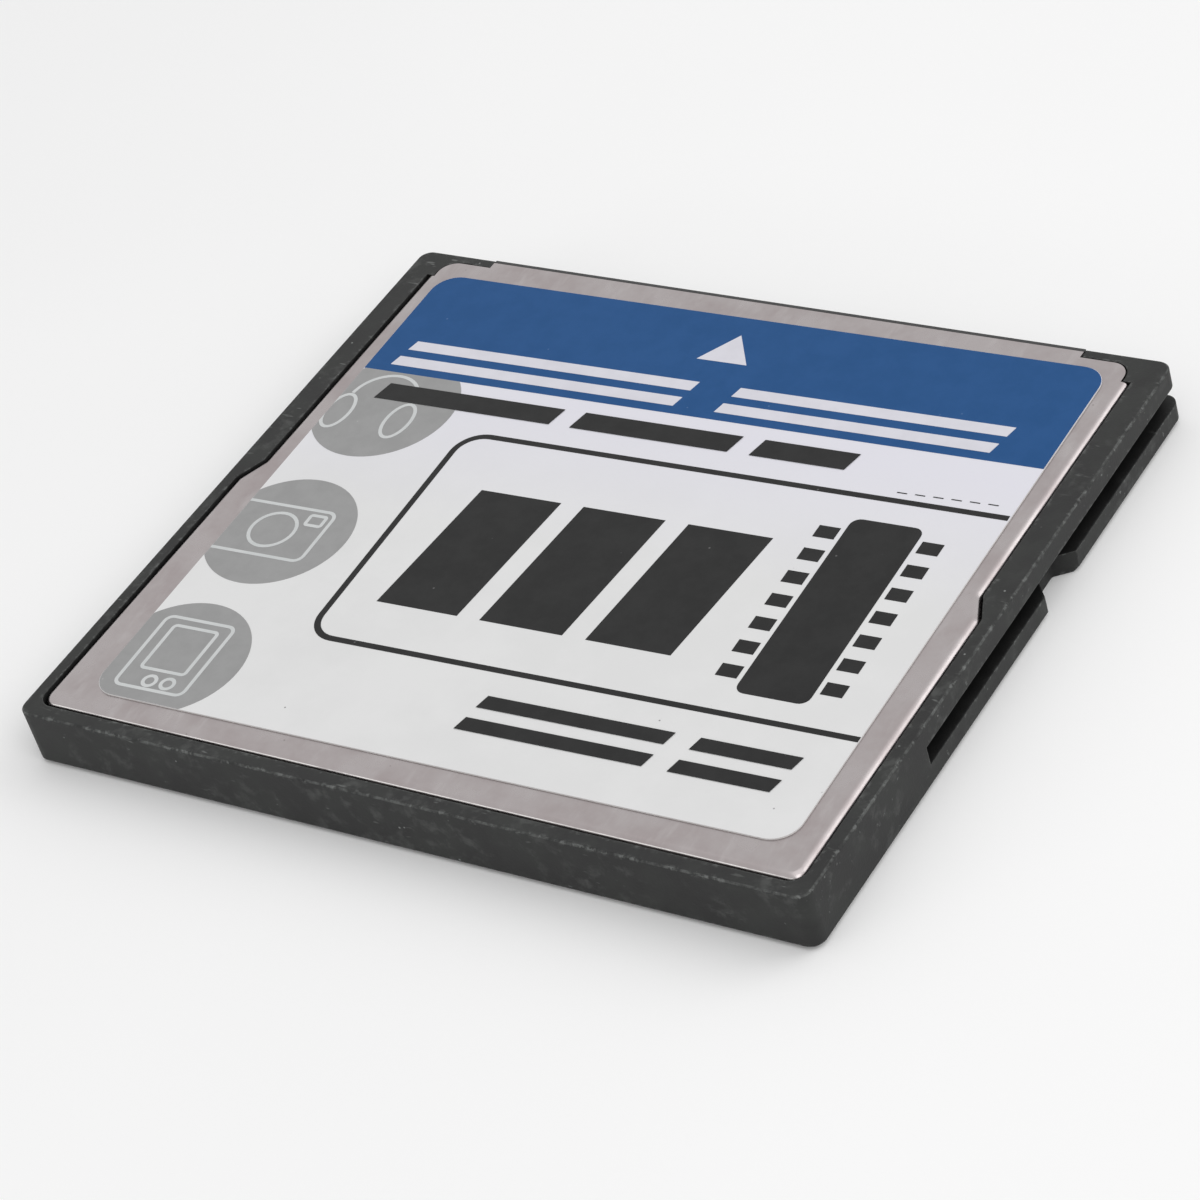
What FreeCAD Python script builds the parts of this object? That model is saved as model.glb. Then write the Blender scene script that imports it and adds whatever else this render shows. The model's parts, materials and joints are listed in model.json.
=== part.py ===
import FreeCAD, Part
import math
import os

# Flash memory card, type I: a moulded frame between two pressed steel covers, with a two-row
# socket connector at the front, a circuit board inside and a printed label on the top cover.
# Millimetres. The origin is under the middle of the card, +Y points to the connector, +Z is up.

# Whole card
card_width = 42.80
card_length = 36.40
card_thickness = 3.30

# Label, stuck on a little askew
label_width = 37.80
label_length = 32.40
label_thickness = 0.08
label_corner_radius = 1.30
label_shift_x = 0.10
label_shift_y = 0.45
label_turn_degrees = 0.70

# Pressed steel covers; each setback is measured inwards from the card's outer edge
sheet_thickness = 0.20
bend_radius = 0.40
skirt_height = 0.62
cover_rear_setback = 0.92
cover_rear_side_setback = 0.76
cover_front_side_setback = 1.43
cover_front_setback = 0.65
tongue_setback = 0.22
bend_relief_setback = 1.90
bend_relief_margin = 0.02
jog_setback = 17.20
jog_length = 1.50
jog_radius = 0.50
cover_rear_radius = 0.70
cover_front_radius = 0.90
cover_proud = 0.02
cover_gap = 0.08
cover_rear_gap = 0.14
tab_width = 2.40
tab_drop = 0.70
tab_gap = 0.06
side_tab_setback = 6.20
rear_tab_spacing = 18.00

# Moulded frame
frame_corner_radius = 0.70
frame_top_bevel = 0.08
frame_bottom_bevel = 0.25
side_wall = 2.80
rear_wall = 2.30
shelf_width = 0.70

# Guide slots and notches, along both sides from the connector end
guide_length = 25.78
guide_depth = 1.05
narrow_slot_bottom = 1.16
narrow_slot_height = 0.99
wide_slot_bottom = 0.84
wide_slot_height = 1.60
notch_setback = 12.10
notch_floor_length = 1.25
notch_front_flare = 0.80
notch_rear_flare = 1.20
notch_radius = 0.20

# Socket connector
contacts_per_row = 25
contact_pitch = 1.27
row_pitch = 1.27
connector_end_margin = 1.61
connector_depth = 6.70
connector_gap = 0.08
lip_gap = 0.04
ear_width = 0.80
ear_length = 2.20
ear_height = 1.30
socket_width = 0.62
socket_mouth = 0.94
mouth_depth = 0.28

# Stamped contacts; lengths are measured from the housing's rear face
contact_width = 0.40
contact_gap = 0.03
contact_root_start = 0.30
contact_crotch = 2.30
contact_tip = 5.40
beam_thickness = 0.11
beam_opening = 0.30
tail_thickness = 0.15
foot_length = 1.10
upper_jog_start = -0.15
upper_jog_end = -0.65
lower_jog_start = 0.25
lower_jog_end = -0.05

# Circuit board
board_bottom = 1.02
board_thickness = 0.60
board_gap = 0.15
board_corner_cut = 0.60

# Flash memory chip, leads on its two short ends
chip_thickness = 1.00
chip_standoff = 0.05
chip_bevel = 0.18
lead_width = 0.22
lead_thickness = 0.12
lead_pitch = 0.50
lead_foot = 0.50
flash_width = 12.00
flash_length = 18.40
flash_lead_reach = 0.80
flash_leads_per_end = 24
flash_side_margin = 2.85
flash_rear_margin = 0.50

# Controller chip, leads on all four sides
controller_width = 10.00
controller_lead_reach = 1.00
controller_leads_per_side = 16
controller_side_margin = 4.25
controller_rear_gap = 1.20
first_lead_cut = 0.60

# Voltage regulator, in front of the controller
regulator_length = 2.90
regulator_width = 1.60
regulator_thickness = 0.95
regulator_bevel = 0.15
regulator_lead_width = 0.40
regulator_lead_pitch = 0.95
regulator_lead_reach = 0.60
regulator_lead_foot = 0.35
regulator_shift = 3.60
regulator_rear_gap = 0.90

# Ceramic capacitors, in a row in front of the flash chip
capacitor_length = 1.60
capacitor_width = 0.80
capacitor_height = 0.80
capacitor_count = 5
capacitor_spacing = 2.40
capacitor_rear_gap = 0.40

# Chip resistors, in a row along the rear edge
resistor_length = 1.00
resistor_width = 0.50
resistor_height = 0.35
resistor_count = 7
resistor_spacing = 1.80
resistor_rear_margin = 0.80

# End caps of capacitors and resistors, as a share of the length on each end
cap_share = 0.22
cap_wrap = 0.02

# Bulk capacitor beside the regulator, with a strip terminal under each end
bulk_length = 3.20
bulk_width = 1.60
bulk_height = 1.10
bulk_bevel = 0.15
bulk_shift = -2.40
terminal_length = 0.80
terminal_width = 1.20
terminal_thickness = 0.10

# Insulating films inside the covers
film_thickness = 0.05
film_front_gap = 0.40
top_film_margin = 0.30
bottom_film_margin = 1.00

# How far a cutting shape runs past what it cuts
overrun = 1.0

# Edges of the card
half_width = card_width / 2
front_y = card_length / 2
rear_y = -card_length / 2

# Heights
top_face = card_thickness - label_thickness
cover_middle = top_face / 2
frame_bottom = cover_proud
frame_top = top_face - cover_proud
seat_top = top_face - sheet_thickness
seat_bottom = sheet_thickness
skirt_edge = top_face - skirt_height
board_top = board_bottom + board_thickness

# Cover outline
cover_rear_y = rear_y + cover_rear_setback
cover_front_y = front_y - cover_front_setback
tongue_y = front_y - tongue_setback
relief_y = front_y - bend_relief_setback
cover_rear_half = half_width - cover_rear_side_setback
cover_front_half = half_width - cover_front_side_setback
flat_half = cover_front_half - bend_radius - bend_relief_margin
jog_front_y = front_y - jog_setback
jog_rear_y = jog_front_y - jog_length
jog_angle = math.atan2(cover_rear_half - cover_front_half, jog_length)
side_tab_y = cover_rear_y + side_tab_setback

# Connector
connector_half = (contacts_per_row - 1) * contact_pitch / 2 + connector_end_margin
connector_rear_y = front_y - connector_depth
tongue_half = connector_half
connector_middle = card_thickness / 2
upper_row_z = connector_middle + row_pitch / 2
lower_row_z = connector_middle - row_pitch / 2

# Room inside the frame
cavity_half = half_width - side_wall
cavity_rear_y = rear_y + rear_wall
board_half = cavity_half - board_gap
board_rear_y = cavity_rear_y + board_gap
board_front_y = connector_rear_y - board_gap

# Places on the board, from its edges inwards
flash_reach = flash_length / 2 + flash_lead_reach
flash_x = -board_half + flash_side_margin + flash_width / 2
flash_y = board_rear_y + flash_rear_margin + flash_reach
capacitor_y = flash_y + flash_reach + capacitor_rear_gap + capacitor_width / 2
controller_reach = controller_width / 2 + controller_lead_reach
controller_x = board_half - controller_side_margin - controller_reach
resistor_y = board_rear_y + resistor_rear_margin + resistor_width / 2
controller_y = resistor_y + resistor_width / 2 + controller_rear_gap + controller_reach
regulator_reach = regulator_width / 2 + regulator_lead_reach
regulator_x = controller_x + regulator_shift
regulator_y = controller_y + controller_reach + regulator_rear_gap + regulator_reach
bulk_x = controller_x + bulk_shift
bulk_y = regulator_y


def box(x_low, x_high, y_low, y_high, z_low, z_high):
    corner = FreeCAD.Vector(x_low, y_low, z_low)
    return Part.makeBox(x_high - x_low, y_high - y_low, z_high - z_low, corner)


def upright_box(half_x, y_low, y_high, z_low, z_high):
    return box(-half_x, half_x, y_low, y_high, z_low, z_high)


def mirrored(right_side):
    # A right-hand side that runs from rear to front, closed by its mirror image
    return right_side + [(-x, y, radius) for x, y, radius in reversed(right_side)]


def rounded_wire(corners, z):
    # A closed outline through corners (x, y, radius), with an arc at each rounded corner
    points = [FreeCAD.Vector(x, y, z) for x, y, radius in corners]
    count = len(corners)
    starts = []
    ends = []
    arcs = []
    for i in range(count):
        point = points[i]
        radius = corners[i][2]
        to_previous = (points[i - 1] - point).normalize()
        to_next = (points[(i + 1) % count] - point).normalize()
        if radius <= 0:
            starts.append(point)
            ends.append(point)
            arcs.append(None)
            continue
        half_angle = to_previous.getAngle(to_next) / 2
        tangent = radius / math.tan(half_angle)
        bisector = (to_previous + to_next).normalize()
        middle = point + bisector * (radius / math.sin(half_angle) - radius)
        start = point + to_previous * tangent
        end = point + to_next * tangent
        starts.append(start)
        ends.append(end)
        arcs.append(Part.Arc(start, middle, end).toShape())
    edges = []
    for i in range(count):
        if arcs[i]:
            edges.append(arcs[i])
        edges.append(Part.LineSegment(ends[i], starts[(i + 1) % count]).toShape())
    return Part.Wire(edges)


def prism(corners, z_low, z_high):
    face = Part.Face(rounded_wire(corners, z_low))
    return face.extrude(FreeCAD.Vector(0, 0, z_high - z_low))


def flat_edges(solid, z, above_y=None):
    # Edges that lie at one height, without those that lie along the front line above_y
    tolerance = 1e-6
    found = []
    for edge in solid.Edges:
        bounds = edge.BoundBox
        level = abs(bounds.ZMin - z) < tolerance and abs(bounds.ZMax - z) < tolerance
        at_front = above_y is not None and bounds.YMin > above_y - tolerance
        if level and not at_front:
            found.append(edge)
    return found


def turned_over(shape):
    # The bottom cover and its room in the frame are the top ones turned over in the middle
    return shape.mirror(FreeCAD.Vector(0, 0, cover_middle), FreeCAD.Vector(0, 0, 1))


def left_handed(shape):
    return shape.mirror(FreeCAD.Vector(0, 0, 0), FreeCAD.Vector(1, 0, 0))


def skirt_outline(offset, rear_offset, front):
    # Bent part of the cover, wider behind the jog; offsets are positive outwards
    jog_shift = offset * math.tan(jog_angle / 2)
    return mirrored([
        (cover_rear_half + offset, cover_rear_y - rear_offset, cover_rear_radius + offset),
        (cover_rear_half + offset, jog_rear_y + jog_shift, jog_radius + offset),
        (cover_front_half + offset, jog_front_y + jog_shift, jog_radius - offset),
        (cover_front_half + offset, front, 0),
    ])


def front_outline(offset, rear):
    # Flat front of the cover, with the tongue that lies over the connector
    room = flat_half - tongue_half
    corner_radius = min(cover_front_radius, room / 2, cover_front_y - relief_y) + offset
    return mirrored([
        (flat_half + offset, rear, 0),
        (flat_half + offset, cover_front_y + offset, corner_radius),
        (tongue_half + offset, cover_front_y + offset, 0),
        (tongue_half + offset, tongue_y + offset, 0),
    ])


def cover_tabs(gap):
    # Holding tabs below the skirt, two at the sides and two at the rear
    low = skirt_edge - tab_drop - gap
    reach = tab_width / 2 + gap
    outer_x = cover_rear_half + gap
    inner_x = cover_rear_half - sheet_thickness - gap
    outer_y = cover_rear_y - gap
    inner_y = cover_rear_y + sheet_thickness + gap
    side_tab = box(inner_x, outer_x, side_tab_y - reach, side_tab_y + reach, low, skirt_edge)
    tabs = [side_tab, left_handed(side_tab)]
    for x in (-rear_tab_spacing / 2, rear_tab_spacing / 2):
        tabs.append(box(x - reach, x + reach, outer_y, inner_y, low, skirt_edge))
    return tabs


def top_cover():
    outer = prism(skirt_outline(0, 0, relief_y), skirt_edge, top_face)
    outer = outer.makeFillet(bend_radius, flat_edges(outer, top_face, relief_y))
    inner_front = relief_y + overrun
    inner_outline = skirt_outline(-sheet_thickness, -sheet_thickness, inner_front)
    inner = prism(inner_outline, skirt_edge - overrun, seat_top)
    # A bevel inside the bend that leaves the sheet its full thickness across the corner
    inner_bevel = (bend_radius - sheet_thickness) * (2 - math.sqrt(2))
    inner = inner.makeChamfer(inner_bevel, flat_edges(inner, seat_top, inner_front))
    front_flat = prism(front_outline(0, relief_y), seat_top, top_face)
    return outer.cut(inner).fuse([front_flat] + cover_tabs(0)).removeSplitter()


def cover_room():
    # Space in the frame for the top cover: a seat for its sheet, a channel for its skirt
    channel_front = relief_y + cover_gap
    channel_floor = skirt_edge - tab_gap
    high = frame_top + overrun
    inset = -(bend_radius + cover_gap)
    room_outline = skirt_outline(cover_gap, cover_rear_gap, channel_front)
    sheet_room = prism(room_outline, seat_top, high)
    front_room = prism(front_outline(cover_gap, relief_y), seat_top, high)
    channel = prism(room_outline, channel_floor, seat_top)
    core = prism(skirt_outline(inset, inset, channel_front + overrun), channel_floor, seat_top)
    return [sheet_room, front_room, channel.cut(core)] + cover_tabs(tab_gap)


def guide_cut(slot_bottom, slot_height):
    # Right-hand guide slot, open at the front, and the flared notch below it
    floor_x = half_width - guide_depth
    outer_x = half_width + overrun
    slot_top = slot_bottom + slot_height
    slot = box(floor_x, outer_x, front_y - guide_length, front_y + overrun, slot_bottom, slot_top)
    front = front_y - notch_setback
    rear = front - notch_floor_length
    # The flares run on past the outer face at the same slope
    run_on = (guide_depth + overrun) / guide_depth
    notch = prism([
        (floor_x, rear, notch_radius),
        (outer_x, rear - notch_rear_flare * run_on, 0),
        (outer_x, front + notch_front_flare * run_on, 0),
        (floor_x, front, notch_radius),
    ], frame_bottom - overrun, slot_bottom + slot_height / 2)
    return [slot, notch]


def board_room():
    # Cavity for the board, with a shelf under its edges, and the bay for the connector
    low = frame_bottom - overrun
    high = frame_top + overrun
    shelf_half = cavity_half - shelf_width
    bay_half = connector_half + connector_gap
    ear_half = bay_half + ear_width
    ear_low = connector_middle - ear_height / 2 - connector_gap
    ear_high = connector_middle + ear_height / 2 + connector_gap
    ear_front = connector_rear_y + ear_length + connector_gap
    return [
        upright_box(cavity_half, cavity_rear_y, connector_rear_y, board_bottom, high),
        upright_box(shelf_half, cavity_rear_y + shelf_width, connector_rear_y, low, high),
        upright_box(bay_half, 0, front_y + overrun, low, high),
        upright_box(ear_half, connector_rear_y - overrun, ear_front, ear_low, ear_high),
    ]


def frame():
    block = prism(mirrored([
        (half_width, rear_y, frame_corner_radius),
        (half_width, front_y, frame_corner_radius),
    ]), frame_bottom, frame_top)
    block = block.makeChamfer(frame_top_bevel, flat_edges(block, frame_top))
    block = block.makeChamfer(frame_bottom_bevel, flat_edges(block, frame_bottom))
    top_room = cover_room()
    bottom_room = [turned_over(room) for room in top_room]
    right_guide = guide_cut(narrow_slot_bottom, narrow_slot_height)
    left_guide = [left_handed(cut) for cut in guide_cut(wide_slot_bottom, wide_slot_height)]
    cuts = top_room + bottom_room + board_room() + right_guide + left_guide
    return block.cut(cuts).removeSplitter()


def even_places(count, pitch):
    return [(i - (count - 1) / 2) * pitch for i in range(count)]


def contact_places():
    return even_places(contacts_per_row, contact_pitch)


def square_wire(width, y):
    half = width / 2
    corners = [(-half, -half), (half, -half), (half, half), (-half, half)]
    points = [FreeCAD.Vector(x, y, z) for x, z in corners]
    return Part.makePolygon(points + points[:1])


def socket_cut():
    # One square socket through the housing, with a lead-in at its mouth
    bore_y = connector_rear_y - overrun
    bore = Part.Face(square_wire(socket_width, bore_y))
    bore = bore.extrude(FreeCAD.Vector(0, front_y + overrun - bore_y, 0))
    widening = (socket_mouth - socket_width) / mouth_depth
    past_mouth = socket_mouth + widening * lip_gap
    inner_end = square_wire(socket_width, front_y - mouth_depth)
    outer_end = square_wire(past_mouth, front_y + lip_gap)
    lead_in = Part.makeLoft([inner_end, outer_end], True, True)
    return bore.fuse(lead_in)


def connector_housing():
    body = upright_box(connector_half, connector_rear_y, front_y, seat_bottom, seat_top)
    lip_y = tongue_y + lip_gap
    lip = upright_box(connector_half, lip_y, front_y, frame_bottom, frame_top)
    ear_low = connector_middle - ear_height / 2
    ear_high = connector_middle + ear_height / 2
    ear_half = connector_half + ear_width
    ears = upright_box(ear_half, connector_rear_y, connector_rear_y + ear_length, ear_low, ear_high)
    body = body.fuse([lip, ears]).removeSplitter()
    socket = socket_cut()
    sockets = []
    for z in (upper_row_z, lower_row_z):
        for x in contact_places():
            sockets.append(socket.translated(FreeCAD.Vector(x, 0, z)))
    return body.cut(sockets)


def contact_profile(row_z, foot_low, jog_start, jog_end):
    # Side view of a fork contact: two beams, a root, and a tail that ends in a foot on the board
    half_root = socket_width / 2 - contact_gap
    half_opening = beam_opening / 2
    half_tip = half_opening + beam_thickness
    half_crotch = half_root - beam_thickness
    half_tail = tail_thickness / 2
    foot_end = jog_end - foot_length
    foot_lower = foot_low - row_z
    foot_upper = foot_lower + tail_thickness
    outline = [
        (contact_root_start, half_root),
        (contact_tip, half_tip),
        (contact_tip, half_opening),
        (contact_crotch, half_crotch),
        (contact_crotch, -half_crotch),
        (contact_tip, -half_opening),
        (contact_tip, -half_tip),
        (contact_root_start, -half_root),
        (jog_start, -half_tail),
        (jog_end, foot_lower),
        (foot_end, foot_lower),
        (foot_end, foot_upper),
        (jog_end, foot_upper),
        (jog_start, half_tail),
    ]
    return [(connector_rear_y + along, row_z + up) for along, up in outline]


def side_profile_solid(profile, x_low, x_high):
    points = [FreeCAD.Vector(x_low, y, z) for y, z in profile]
    face = Part.Face(Part.makePolygon(points + points[:1]))
    return face.extrude(FreeCAD.Vector(x_high - x_low, 0, 0))


def contact_row(profile):
    half = contact_width / 2
    contact = side_profile_solid(profile, -half, half)
    return [contact.translated(FreeCAD.Vector(x, 0, 0)) for x in contact_places()]


def upper_contacts():
    return contact_row(contact_profile(upper_row_z, board_top, upper_jog_start, upper_jog_end))


def lower_contacts():
    foot_low = board_bottom - tail_thickness
    return contact_row(contact_profile(lower_row_z, foot_low, lower_jog_start, lower_jog_end))


def circuit_board():
    # A plate with cut corners that lies on the frame's shelf
    cut_half = board_half - board_corner_cut
    return prism(mirrored([
        (cut_half, board_rear_y, 0),
        (board_half, board_rear_y + board_corner_cut, 0),
        (board_half, board_front_y - board_corner_cut, 0),
        (cut_half, board_front_y, 0),
    ]), board_bottom, board_top)


def moulded_body(x, y, size_x, size_y, thickness, bevel):
    # A moulded package just above the board, with bevelled upper and lower edges
    low = board_top + chip_standoff
    high = low + thickness
    body = box(x - size_x / 2, x + size_x / 2, y - size_y / 2, y + size_y / 2, low, high)
    return body.makeChamfer(bevel, flat_edges(body, low) + flat_edges(body, high))


def with_first_lead_corner(body):
    # The front left corner is cut off, to show where the first lead is
    bounds = body.BoundBox
    corner = FreeCAD.Vector(bounds.XMin, bounds.YMax, bounds.ZMin - overrun)
    ends = [FreeCAD.Vector(first_lead_cut, 0, 0), FreeCAD.Vector(0, -first_lead_cut, 0)]
    triangle = Part.makePolygon([corner, corner + ends[0], corner + ends[1], corner])
    height = FreeCAD.Vector(0, 0, bounds.ZLength + 2 * overrun)
    return body.cut(Part.Face(triangle).extrude(height))


def lead_row(edge_y, reach, foot, thickness, width, places):
    # Leads along the +Y edge of a package: down from its middle, then a foot on the board
    half = lead_thickness / 2
    middle = board_top + chip_standoff + thickness / 2
    heel = edge_y + reach - foot
    toe = edge_y + reach
    profile = [
        (edge_y, middle + half),
        (edge_y, middle - half),
        (heel, board_top),
        (toe, board_top),
        (toe, board_top + lead_thickness),
        (heel + half, board_top + lead_thickness),
    ]
    lead = side_profile_solid(profile, -width / 2, width / 2)
    return [lead.translated(FreeCAD.Vector(x, 0, 0)) for x in places]


def turned(shapes, degrees):
    origin = FreeCAD.Vector(0, 0, 0)
    up = FreeCAD.Vector(0, 0, 1)
    return [shape.rotated(origin, up, degrees) for shape in shapes]


def moved(shapes, x, y):
    return [shape.translated(FreeCAD.Vector(x, y, 0)) for shape in shapes]


def flash_chip_body():
    return moulded_body(flash_x, flash_y, flash_width, flash_length, chip_thickness, chip_bevel)


def flash_chip_leads():
    places = even_places(flash_leads_per_end, lead_pitch)
    edge = flash_length / 2
    end = lead_row(edge, flash_lead_reach, lead_foot, chip_thickness, lead_width, places)
    return moved(end + turned(end, 180), flash_x, flash_y)


def controller_body():
    size = controller_width
    body = moulded_body(controller_x, controller_y, size, size, chip_thickness, chip_bevel)
    return with_first_lead_corner(body)


def controller_leads():
    places = even_places(controller_leads_per_side, lead_pitch)
    edge = controller_width / 2
    side = lead_row(edge, controller_lead_reach, lead_foot, chip_thickness, lead_width, places)
    leads = []
    for quarter in range(4):
        leads += turned(side, 90 * quarter)
    return moved(leads, controller_x, controller_y)


def regulator_body():
    return moulded_body(regulator_x, regulator_y, regulator_length, regulator_width,
                        regulator_thickness, regulator_bevel)


def regulator_leads():
    edge = regulator_width / 2
    three = even_places(3, regulator_lead_pitch)
    outer_two = [three[0], three[2]]
    front = lead_row(edge, regulator_lead_reach, regulator_lead_foot, regulator_thickness,
                     regulator_lead_width, outer_two)
    rear = lead_row(edge, regulator_lead_reach, regulator_lead_foot, regulator_thickness,
                    regulator_lead_width, three)
    return moved(front + turned(rear, 180), regulator_x, regulator_y)


def two_ended(x, y, length, width, height):
    # A ceramic block along X between two end caps that stand on the board
    cap = cap_share * length
    half_length = length / 2
    half_width_y = width / 2
    inner = half_length - cap
    block = box(x - inner, x + inner, y - half_width_y + cap_wrap, y + half_width_y - cap_wrap,
                board_top + cap_wrap, board_top + height - cap_wrap)
    caps = []
    for low, high in ((-half_length, -inner), (inner, half_length)):
        caps.append(box(x + low, x + high, y - half_width_y, y + half_width_y,
                        board_top, board_top + height))
    return block, caps


def component_row(places, y, length, width, height):
    blocks = []
    end_caps = []
    for x in places:
        block, caps = two_ended(x, y, length, width, height)
        blocks.append(block)
        end_caps += caps
    return blocks, end_caps


def ceramic_capacitors():
    places = [flash_x + x for x in even_places(capacitor_count, capacitor_spacing)]
    return component_row(places, capacitor_y, capacitor_length, capacitor_width, capacitor_height)


def resistors():
    places = [controller_x + x for x in even_places(resistor_count, resistor_spacing)]
    return component_row(places, resistor_y, resistor_length, resistor_width, resistor_height)


def bulk_capacitor_body():
    low = board_top + terminal_thickness
    high = low + bulk_height
    body = box(bulk_x - bulk_length / 2, bulk_x + bulk_length / 2,
               bulk_y - bulk_width / 2, bulk_y + bulk_width / 2, low, high)
    return body.makeChamfer(bulk_bevel, flat_edges(body, high))


def bulk_capacitor_terminals():
    half = terminal_width / 2
    high = board_top + terminal_thickness
    left = bulk_x - bulk_length / 2
    right = bulk_x + bulk_length / 2
    return [
        box(left, left + terminal_length, bulk_y - half, bulk_y + half, board_top, high),
        box(right - terminal_length, right, bulk_y - half, bulk_y + half, board_top, high),
    ]


def insulator(inset, z_low):
    half = cavity_half - inset
    return upright_box(half, cavity_rear_y + inset, connector_rear_y - film_front_gap,
                       z_low, z_low + film_thickness)


def label():
    half = label_width / 2
    sheet = prism(mirrored([
        (half, -label_length / 2, label_corner_radius),
        (half, label_length / 2, label_corner_radius),
    ]), top_face, card_thickness)
    return moved(turned([sheet], label_turn_degrees), label_shift_x, label_shift_y)[0]


capacitor_blocks, capacitor_caps = ceramic_capacitors()
resistor_blocks, resistor_caps = resistors()
steel_cover = top_cover()

nodes = {
    "frame": [frame()],
    "top_cover": [steel_cover],
    "bottom_cover": [turned_over(steel_cover)],
    "label": [label()],
    "connector_housing": [connector_housing()],
    "upper_contacts": upper_contacts(),
    "lower_contacts": lower_contacts(),
    "circuit_board": [circuit_board()],
    "flash_chip_body": [flash_chip_body()],
    "flash_chip_leads": flash_chip_leads(),
    "controller_body": [controller_body()],
    "controller_leads": controller_leads(),
    "regulator_body": [regulator_body()],
    "regulator_leads": regulator_leads(),
    "ceramic_capacitor_bodies": capacitor_blocks,
    "ceramic_capacitor_caps": capacitor_caps,
    "resistor_bodies": resistor_blocks,
    "resistor_caps": resistor_caps,
    "bulk_capacitor_body": [bulk_capacitor_body()],
    "bulk_capacitor_terminals": bulk_capacitor_terminals(),
    "top_insulator": [insulator(top_film_margin, seat_top - film_thickness)],
    "bottom_insulator": [insulator(shelf_width + bottom_film_margin, seat_bottom)],
}

os.makedirs("parts", exist_ok=True)
for name, solids in nodes.items():
    shape = solids[0] if len(solids) == 1 else Part.makeCompound(solids)
    shape.exportStep("parts/" + name + ".step")
    volume = sum(solid.Volume for solid in solids)
    print(name, len(solids), "solids", round(volume, 3), "mm3", shape.isValid())
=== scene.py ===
import bpy
import bmesh
import json
import math
from mathutils import Matrix, Vector


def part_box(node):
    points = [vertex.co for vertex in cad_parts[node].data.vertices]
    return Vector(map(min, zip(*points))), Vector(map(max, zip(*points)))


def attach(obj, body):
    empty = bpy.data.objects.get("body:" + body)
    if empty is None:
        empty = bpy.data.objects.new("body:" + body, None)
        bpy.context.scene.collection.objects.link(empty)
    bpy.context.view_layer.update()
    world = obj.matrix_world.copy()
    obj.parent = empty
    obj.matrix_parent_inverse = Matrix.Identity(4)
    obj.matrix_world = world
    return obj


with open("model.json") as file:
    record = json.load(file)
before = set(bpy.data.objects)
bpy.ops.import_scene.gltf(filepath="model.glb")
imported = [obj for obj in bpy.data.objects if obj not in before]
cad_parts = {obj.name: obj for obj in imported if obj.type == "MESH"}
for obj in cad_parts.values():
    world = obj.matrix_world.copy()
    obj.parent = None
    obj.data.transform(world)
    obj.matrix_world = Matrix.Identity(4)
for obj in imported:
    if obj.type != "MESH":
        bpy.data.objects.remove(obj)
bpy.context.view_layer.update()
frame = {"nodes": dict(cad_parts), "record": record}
mm = 0.001
print("frame loaded:", len(frame["nodes"]), "nodes")


# colours are written as sRGB hex and turned to linear here
def hexColour(text):
    channels = [int(text[i:i + 2], 16) / 255 for i in (1, 3, 5)]
    linear = [c / 12.92 if c <= 0.04045 else ((c + 0.055) / 1.055) ** 2.4 for c in channels]
    return (*linear, 1.0)


# adds one node: its settings first, then each input gets a value, a socket or a node's first output
def addNode(tree, kind, inputs=None, **settings):
    node = tree.nodes.new(kind)
    for name, value in settings.items():
        setattr(node, name, value)
    for key, value in (inputs or {}).items():
        named = [socket for socket in node.inputs if socket.name == key and socket.enabled]
        socket = named[0] if named else node.inputs[key]
        if isinstance(value, bpy.types.Node):
            value = next(output for output in value.outputs if output.enabled)
        if isinstance(value, bpy.types.NodeSocket):
            tree.links.new(value, socket)
        else:
            socket.default_value = value
    return node


def startMaterial(name):
    material = bpy.data.materials.new(name)
    material.use_nodes = True
    tree = material.node_tree
    tree.nodes.clear()
    coords = addNode(tree, "ShaderNodeTexCoord")
    # object coordinates in millimetres, so every scale below is one over a size in mm
    where = addNode(tree, "ShaderNodeVectorMath", {0: coords.outputs["Object"], "Scale": 1 / mm},
                    operation="SCALE")
    return material, tree, where


# lays each coat of colour over the base through its mask, then ends in the shader
def endMaterial(tree, base, coats, shader):
    colour = hexColour(base)
    for mask, coat in coats:
        colour = addNode(tree, "ShaderNodeMix", {"Factor": mask, "A": colour, "B": hexColour(coat)},
                         data_type="RGBA")
    surface = addNode(tree, "ShaderNodeBsdfPrincipled", {"Base Color": colour, **shader})
    addNode(tree, "ShaderNodeOutputMaterial", {"Surface": surface})


# what the masks below share
maskLook = {
    "raggedness": 0.62,  # of every cloud
    "patchCells": 2.5, "patch": {"low": 0.52, "high": 0.57, "detail": 1.0},  # where specks gather
    "roundSamples": 6, "flatDot": 0.995, "edgeDot": 0.86,  # how far a normal leans at an edge
    "bevelUp": math.sqrt(0.5), "bevelSpread": 0.1,  # upward part of a 45 degree bevel's normal
}


# clouds of a size in mm, cut softly between two levels of their noise
def cloudMask(tree, where, sizeMm, low, high, amount=1.0, detail=4.0, stretch=(1.0, 1.0, 1.0)):
    drawn = addNode(tree, "ShaderNodeMapping", {"Vector": where, "Scale": stretch})
    noise = addNode(tree, "ShaderNodeTexNoise", {
        "Vector": drawn, "Scale": 1 / sizeMm, "Detail": detail, "Roughness": maskLook["raggedness"]})
    return addNode(tree, "ShaderNodeMapRange", {
        "Value": noise, "From Min": low, "From Max": high, "To Max": amount},
        interpolation_type="SMOOTHSTEP")


# round specks, at most one in each cell, kept only in some places
def speckMask(tree, where, cellMm, speckMm, amount):
    cells = addNode(tree, "ShaderNodeTexVoronoi", {"Vector": where, "Scale": 1 / cellMm})
    dots = addNode(tree, "ShaderNodeMapRange", {
        "Value": cells, "From Min": speckMm / 2 / cellMm, "From Max": speckMm / 4 / cellMm,
        "To Max": amount})
    gathered = cloudMask(tree, where, cellMm * maskLook["patchCells"], **maskLook["patch"])
    return addNode(tree, "ShaderNodeMath", {0: dots, 1: gathered}, operation="MULTIPLY")


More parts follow.
